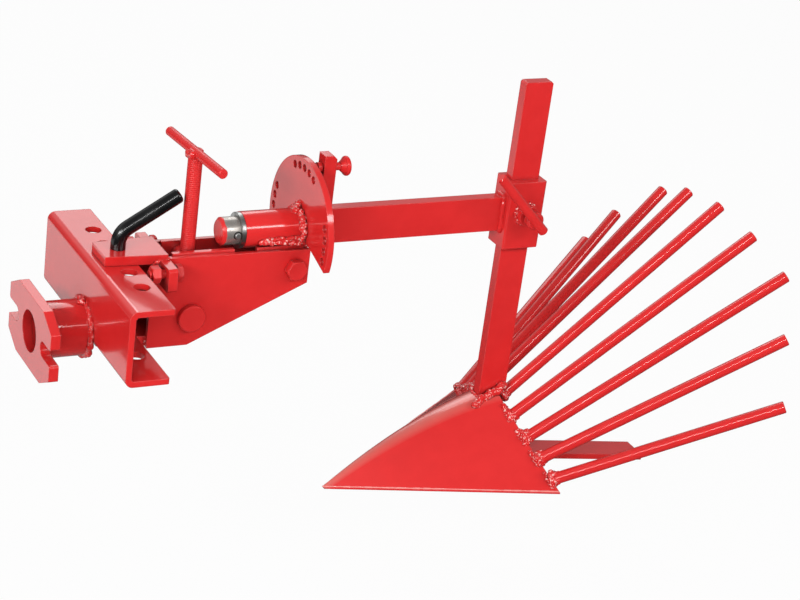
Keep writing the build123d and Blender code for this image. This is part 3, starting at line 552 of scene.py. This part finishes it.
print("hitch and box welds laid")

# Blob where the cross bar is welded to the pitch screw
teeWeld = {"size": 0.0088, "drop": 0.004, "ahead": 0.006, "half": 0.005}
screwHead = middle("pitch_screw")
barHeight = middle("tee_bar").z - teeWeld["drop"]
blob = [
    (screwHead.x - teeWeld["ahead"], screwHead.y - teeWeld["half"], barHeight),
    (screwHead.x - teeWeld["ahead"], screwHead.y + teeWeld["half"], barHeight),
]
layBead("weldTee", "screw", blob, teeWeld["size"], seed=15, finish=redFillet, easing=6)

# Roll tube welds: round the disc, and along the bracket plates in two rows, clear of the side plates
tubeWelds = {
    "disc": 0.0078,
    "discInset": 0.003,
    "crown": 0.0088,
    "crownRun": ((-0.006, -0.006, 0.0), (-0.002, 0.004, 0.002)),
    "plate": 0.0050,
    "plateScatter": 0.32,
    "plateRun": (
        ("rear", -0.004, 0.0012, 0.0100),
        ("front", 0.028, 0.0010, 0.0095),
        ("front", 0.018, 0.0016, 0.0070),
        ("front", 0.040, 0.0016, 0.0053),
        ("front", 0.061, 0.0016, 0.0036),
        ("rear", -0.004, 0.0016, 0.0037),
        ("rear", 0.0015, -0.0052, -0.0020),
        ("rear", 0.0045, -0.0052, -0.0050),
    ),
}
tubeEnds = {"front": lowCorner("roll_tube").x, "rear": highCorner("roll_tube").x}
tubeRadius = highCorner("roll_tube").y
rollHeight = middle("roll_tube").z
discRing = ring((tubeEnds["rear"] - tubeWelds["discInset"], 0, rollHeight), (1, 0, 0), tubeRadius)
layBead("weldTubeDisc", "bracket", discRing, tubeWelds["disc"], seed=21, closed=True)
crown = rollHeight + tubeRadius
tubeCrown = [(tubeEnds["rear"] + back, across, crown + lift) for back, across, lift in tubeWelds["crownRun"]]
layBead("weldTubeCrown", "bracket", tubeCrown, tubeWelds["crown"], seed=22)
bracketOuter = highCorner("bracket_plate_far").y
bracketTop = highCorner("bracket_plate_far").z
for sideName, side in sides:
    seam = []
    for end, back, out, lift in tubeWelds["plateRun"]:
        seam.append((tubeEnds[end] + back, side * (bracketOuter + out), bracketTop + lift))
    layBead(f"weldTubePlate{sideName}", "bracket", seam, tubeWelds["plate"], seed=24 + side,
            scatter=tubeWelds["plateScatter"])

# Beam welds: plunger lug, clamp socket and its boss
beamWelds = {"lug": 0.0028, "socket": 0.0078, "socketScatter": 0.10, "boss": 0.0038, "bossInset": 0.0005}
beamLow = lowCorner("beam")
beamHigh = highCorner("beam")
lugFront = lowCorner("plunger_lug").x
lugRear = highCorner("plunger_lug").x
lugSeam = [
    (lugFront, beamLow.y, beamHigh.z),
    (lugRear, beamLow.y, beamHigh.z),
    (lugRear, beamHigh.y, beamHigh.z),
    (lugFront, beamHigh.y, beamHigh.z),
]
layBead("weldPlungerLug", "beam", lugSeam, beamWelds["lug"], seed=31, closed=True)
socketSeam = [
    (beamHigh.x, beamLow.y, beamLow.z),
    (beamHigh.x, beamLow.y, beamHigh.z),
    (beamHigh.x, beamHigh.y, beamHigh.z),
    (beamHigh.x, beamHigh.y, beamLow.z),
]
layBead("weldSocket", "beam", socketSeam, beamWelds["socket"], seed=32, closed=True,
        finish=redFillet, easing=8, scatter=beamWelds["socketScatter"])
bossMiddle = middle("clamp_boss")
bossSeat = highCorner("clamp_boss").y - beamWelds["bossInset"]
bossRadius = (highCorner("clamp_boss").x - lowCorner("clamp_boss").x) / 2
bossRing = ring((bossMiddle.x, bossSeat, bossMiddle.z), (0, 1, 0), bossRadius)
layBead("weldBoss", "beam", bossRing, beamWelds["boss"], seed=33, closed=True)
print("bracket and beam welds laid")

# Shank's foot: a broad bead on the near side, a thin one on the far side, and a fillet at the toe
footWelds = {
    "near": 0.0092,
    "far": 0.0060,
    "run": (
        (-0.0105, 0.0180, 0.0),
        (0.0023, 0.0157, 0.0),
        (0.0158, 0.0130, 0.0005),
        (0.0265, 0.0108, 0.003),
        (0.0370, 0.0098, 0.0070),
    ),
    "lift": 0.0015,
    "roofPast": 0.002,
    "toe": 0.0034,
    "toeAhead": 0.001,
    "toeLooksAhead": 0.003,
    "castFrom": 0.3,
}
bpy.context.view_layer.update()
shankLow = lowCorner("shank")
shankHigh = highCorner("shank")
shankMiddle = middle("shank").x


def roofHeight(x, y):
    above = Vector((x, y, footWelds["castFrom"]))
    found, spot, _, _ = nodes["share"].ray_cast(above, Vector((0, 0, -1)))
    return spot.z if found else shankLow.z


for sideName, side, first, size in (("Near", 1, 0, footWelds["near"]), ("Far", -1, 1, footWelds["far"])):
    seam = []
    for back, out, lift in footWelds["run"][first:]:
        x, y = shankLow.x + back, -out * side
        roof = roofHeight(min(x, shankMiddle + footWelds["roofPast"]), y)
        seam.append((x, y, roof + footWelds["lift"] + lift))
    layBead(f"weldShankFoot{sideName}", "tool", seam, size, seed=41 + side)
toeX = shankLow.x - footWelds["toeAhead"]
toeHeight = roofHeight(shankLow.x, shankLow.y)
toeSeam = [
    (toeX, shankLow.y, toeHeight),
    (toeX, 0, roofHeight(shankLow.x - footWelds["toeLooksAhead"], 0)),
    (toeX, shankHigh.y, toeHeight),
]
layBead("weldShankToe", "tool", toeSeam, footWelds["toe"], seed=43, finish=redFillet, easing=4)

# Tine welds: a cone of weld round each root, and a lump on the share's rear edge beside it
fan = {
    "rootBack": (0.0020, 0.0116, 0.0195, 0.0265, 0.0337),
    "rootSpread": (0.0, 0.040, 0.073, 0.102, 0.132),
    "rootDepth": (0.2888, 0.2867, 0.3030, 0.3200, 0.3345),
    "tipBack": (0.325, 0.3275, 0.3365, 0.307, 0.287),
    "tipSpread": (0.0, 0.080, 0.153, 0.2155, 0.2635),
    "tipDepth": (0.0145, 0.0255, 0.0535, 0.114, 0.187),
    "rod": 0.008,
    "reach": 0.0030,
    "middleReach": 0.0255,
    "cone": 0.0065,
    "coneFoot": 0.98,
    "coneTop": 0.60,
    "ringPoints": 16,
    "collar": 0.0068,
    "collarScatter": 0.40,
    "edge": 0.0062,
    "edgeAhead": 0.0026,
    "edgeSteps": (-0.009, -0.003, 0.003, 0.009),
    "edgeSlope": 0.24,
    "farThinner": 0.72,
}


def fanPoint(end, rank, side):
    return Vector((
        shankMiddle + fan[end + "Back"][rank],
        side * fan[end + "Spread"][rank],
        rollHeight - fan[end + "Depth"][rank],
    ))


number = 0
for side, order in ((1, (4, 3, 2, 1)), (0, (0,)), (-1, (1, 2, 3, 4))):
    for rank in order:
        number += 1
        root = fanPoint("root", rank, side)
        run = (fanPoint("tip", rank, side) - root).normalized()
        reach = fan["reach"] if rank else fan["middleReach"]
        bulk = fan["farThinner"] if side > 0 else 1.0
        collar = ring(root + run * reach, run, fan["rod"] * fan["coneFoot"], fan["ringPoints"])
        collar += ring(root + run * (reach + fan["cone"]), run, fan["rod"] * fan["coneTop"], fan["ringPoints"])
        layBead(f"weldTine{number}", "tool", collar, fan["collar"] * bulk, seed=50 + number, closed=True,
                easing=2, scatter=fan["collarScatter"])
        if rank == 0:
            continue
        edgeSeam = []
        for step in fan["edgeSteps"]:
            x = root.x - fan["edgeAhead"] + step * side * fan["edgeSlope"]
            edgeSeam.append((x, root.y + step, roofHeight(x, root.y + step)))
        layBead(f"weldEdge{number}", "tool", edgeSeam, fan["edge"] * bulk, seed=60 + number)
print("share welds laid")

# Paint gathered in an uneven bead along the share's two cutting edges, coloured pale pink as a painted highlight
# line
edgeLook = {
    "nose": (0.4190, 0.0, -0.2682),
    "wing": (0.6895, 0.1495, -0.2300),
    "links": 44,
    "linkSides": 10,
    "overlap": 1.3,
    "thin": 0.0008,
    "thick": 0.0013,
    "skin": 0.0005,
}
for sideName, side in sides:
    dice = random.Random(80 + side)
    drip = startPiece(f"paintEdge{sideName}")
    nose = Vector(edgeLook["nose"])
    wing = Vector(edgeLook["wing"])
    span = Vector((wing.x, wing.y * side, wing.z)) - nose
    lay = span.to_track_quat("Z", "Y").to_euler()
    for link in range(edgeLook["links"]):
        bpy.ops.mesh.primitive_cylinder_add(
            vertices=edgeLook["linkSides"],
            radius=dice.uniform(edgeLook["thin"], edgeLook["thick"]),
            depth=span.length / edgeLook["links"] * edgeLook["overlap"],
            location=nose + span * ((link + 0.5) / edgeLook["links"]),
            rotation=lay,
        )
    finishPiece(drip, "tool", paleHighlightDrip, edgeLook["skin"], easing=3)
print("paint edges laid")

# Heel welds under the share
heelWelds = {"size": 0.0032, "barHeight": 0.008, "sink": 0.001}
heelWebLow = lowCorner("heel_web")
heelWebHigh = highCorner("heel_web")
heelLow = lowCorner("heel_bar")
heelHigh = highCorner("heel_bar")
heelSlope = (heelHigh.z - heelWelds["barHeight"] - heelLow.z) / (heelHigh.x - heelLow.x)
heelFront = heelHigh.z - heelWelds["sink"]
heelRear = heelFront - (heelWebHigh.x - heelWebLow.x) * heelSlope
for sideName, side in sides:
    webFace = heelWebHigh.y * side
    seam = [(heelWebLow.x, webFace, heelFront), (heelWebHigh.x, webFace, heelRear)]
    layBead(f"weldHeel{sideName}", "tool", seam, heelWelds["size"], seed=70 + side)

# Floor, light and camera
stageLook = {
    "floor": -0.400,
    "floorSize": 30.0,
    "floorMiddle": 0.5,
    "paper": 0.55,
    "glow": 0.96,
    "fade": 1.6,
    "fadeEnds": 2.4,
    "nearFloor": 0.05,
}
skyLook = {
    "light": 0.32,
    "near": 0.20,
    "far": 0.84,
    "farFade": 0.9,
    "fade": 4.0,
    "lowEnds": 0.8,
    "topEnds": 3.4,
    "topLeast": 0.15,
    "rightEnds": 2.2,
    "rightLeast": 0.4,
}
lampLook = {
    "keyStrip": {"place": (2.1, -2.7, 1.9), "size": (2.2, 0.6), "power": 52.0, "roll": 0.0},
    "tineStrip": {"place": (-0.82, -2.46, 1.52), "size": (2.55, 0.14), "power": 38.0, "roll": 39.0},
    "leftStrip": {"place": (-2.7, -1.6, 1.5), "size": (1.9, 0.5), "power": 70.0, "roll": 0.0},
    "farBox": {"place": (1.0, 2.7, 1.35), "size": (1.4, 1.0), "power": 5.5, "roll": 0.0},
    "ridgeBox": {"place": (0.88, 1.85, 2.1), "size": (1.0, 1.6), "power": 15.0, "roll": 0.0},
}
lampAim = (0.45, 0, 0)
cameraLook = {
    "place": (-0.78670, -2.27598, 1.15057),
    "turns": (65.9938, -7.0867, -26.2802),
    "sensor": 36.0,
    "lens": 99.381,
    "clip": (0.05, 60.0),
}


# The rays that see the stage as a backdrop, and the mirrored ones among them
def raysSeen(start):
    eye = start.node("ShaderNodeLightPath", {}, {}, "Is Camera Ray")
    mirror = start.node("ShaderNodeLightPath", {}, {}, "Is Glossy Ray")
    through = start.node("ShaderNodeLightPath", {}, {}, "Is Transmission Ray")
    return start.math("MAXIMUM", eye, start.math("MAXIMUM", mirror, through)), mirror


def paleFloor():
    clearSelection()
    bpy.ops.mesh.primitive_plane_add(size=stageLook["floorSize"], location=(0, 0, 0))
    floor = bpy.context.object
    floor.name = "paleFloor"
    bpy.ops.transform.translate(value=(stageLook["floorMiddle"], 0, stageLook["floor"]))
    bpy.ops.object.transform_apply(location=True, rotation=True, scale=True)
    material, start, place = startMaterial("paleFloor")
    seen, mirror = raysSeen(start)
    leftward = place.axis("X")
    farward = place.axis("Y")
    lit = (0.5 - leftward * stageLook["fade"]).rise() * (0.5 + farward * stageLook["fade"]).rise()
    lit = lit * (stageLook["fadeEnds"] - farward).rise()
    bright = lit * (1 - stageLook["nearFloor"]) + stageLook["nearFloor"]
    bright = 1 - mirror * (1 - bright)
    tone = stageLook["paper"]
    paper = start.node("ShaderNodeBsdfDiffuse", {}, {"Color": (tone, tone, tone, 1)})
    glow = start.node("ShaderNodeEmission", {}, {"Color": bright, "Strength": 1.0})
    surface = start.node("ShaderNodeMixShader", {}, {0: seen * stageLook["glow"], 1: paper, 2: glow})
    start.node("ShaderNodeOutputMaterial", {}, {"Surface": surface})
    floor.data.materials.append(material)


def skyLight():
    world = bpy.data.worlds.new("paleStudio")
    bpy.context.scene.world = world
    world.use_nodes = True
    world.node_tree.nodes.clear()
    start = Strand(world.node_tree)
    seen, mirror = raysSeen(start)
    heading = start.node("ShaderNodeTexCoord", {}, {}, "Generated")
    rightward = heading.axis("X")
    farward = heading.axis("Y")
    upward = heading.axis("Z")
    lit = (farward * skyLook["farFade"] + 0.5).rise() * (upward * skyLook["fade"] - skyLook["lowEnds"]).rise()
    lit = lit * (skyLook["rightEnds"] - rightward * skyLook["fade"]).ramp((0.0, skyLook["rightLeast"]), (1.0, 1.0))
    lit = lit * (skyLook["topEnds"] - upward * skyLook["fade"]).ramp((0.0, skyLook["topLeast"]), (1.0, 1.0))
    bright = lit * (skyLook["far"] - skyLook["near"]) + skyLook["near"]
    bright = 1 - mirror * (1 - bright)
    glow = seen * (bright - skyLook["light"]) + skyLook["light"]
    sky = start.node("ShaderNodeBackground", {}, {"Color": glow, "Strength": 1.0})
    start.node("ShaderNodeOutputWorld", {}, {"Surface": sky})


def softbox(name, place, size, power, roll):
    clearSelection()
    bpy.ops.object.light_add(type="AREA", location=place)
    lamp = bpy.context.object
    lamp.name = name
    lamp.data.shape = "RECTANGLE"
    lamp.data.size = size[0]
    lamp.data.size_y = size[1]
    lamp.data.energy = power
    aim = (Vector(lampAim) - Vector(place)).to_track_quat("-Z", "Y")
    lamp.rotation_euler = (aim @ Quaternion((0, 0, 1), math.radians(roll))).to_euler()


def photoCamera():
    clearSelection()
    bpy.ops.object.camera_add(location=cameraLook["place"])
    camera = bpy.context.object
    camera.name = "photoCamera"
    camera.rotation_euler = [math.radians(turn) for turn in cameraLook["turns"]]
    camera.data.sensor_width = cameraLook["sensor"]
    camera.data.lens = cameraLook["lens"]
    camera.data.clip_start, camera.data.clip_end = cameraLook["clip"]
    bpy.context.scene.camera = camera


paleFloor()
skyLight()
for name, look in lampLook.items():
    softbox(name, **look)
photoCamera()
bpy.context.scene.view_settings.view_transform = "Standard"
print("stage set")
